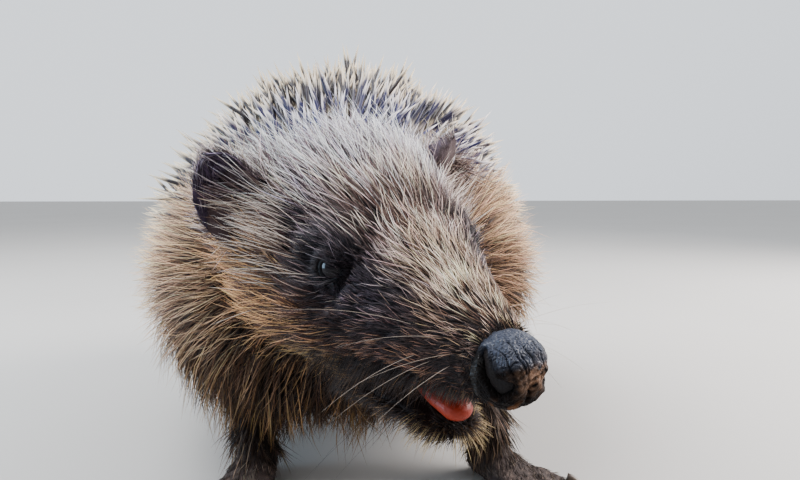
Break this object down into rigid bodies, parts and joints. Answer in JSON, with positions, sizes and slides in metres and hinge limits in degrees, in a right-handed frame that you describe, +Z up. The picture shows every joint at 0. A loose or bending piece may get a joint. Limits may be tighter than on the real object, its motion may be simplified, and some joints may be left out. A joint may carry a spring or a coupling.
{
  "type": "hedgehog",
  "caption": "Life-size still hedgehog standing on its feet, head turned to its left and mouth slightly open, with a spiny back and a hairy face and skirt.",
  "frame": {"origin": "on the floor, under the middle of the box round the whole animal", "axes": "+Z up, the animal's body runs along Y with its nose towards -Y, +X is the animal's left"},
  "size_m": [0.1154, 0.2182, 0.1082],
  "materials": {
    "spines": "stiff banded spines, cream and dark brown, satin",
    "face_hair": "coarse grey-brown hair with pale tips, matte",
    "skirt_hair": "long coarse tan and brown hair, matte",
    "skin": "dark, finely wrinkled bare skin",
    "nose": "black, pebbled and wet",
    "eye": "black, wet and glossy",
    "tongue": "orange-red, wet",
    "claw": "dark brown horn, satin"
  },
  "bodies": {
    "root": {"claw_fore_left_1": "claw", "claw_fore_left_2": "claw", "claw_fore_left_3": "claw", "claw_fore_left_4": "claw", "claw_fore_left_5": "claw", "claw_fore_right_1": "claw", "claw_fore_right_2": "claw", "claw_fore_right_3": "claw", "claw_fore_right_4": "claw", "claw_fore_right_5": "claw", "claw_hind_left_1": "claw", "claw_hind_left_2": "claw", "claw_hind_left_3": "claw", "claw_hind_left_4": "claw", "claw_hind_left_5": "claw", "claw_hind_right_1": "claw", "claw_hind_right_2": "claw", "claw_hind_right_3": "claw", "claw_hind_right_4": "claw", "claw_hind_right_5": "claw", "ear_left": "skin", "ear_right": "skin", "eye_left": "eye", "eye_right": "eye", "forefoot_left": "skin", "forefoot_right": "skin", "foreleg_left": "skirt_hair", "foreleg_right": "skirt_hair", "head": "face_hair", "hindfoot_left": "skin", "hindfoot_right": "skin", "hindleg_left": "skirt_hair", "hindleg_right": "skirt_hair", "lower_jaw": "face_hair", "neck": "spines", "nose": "nose", "tail": "skin", "tongue": "tongue", "trunk": "spines"}
  },
  "joints": []
}
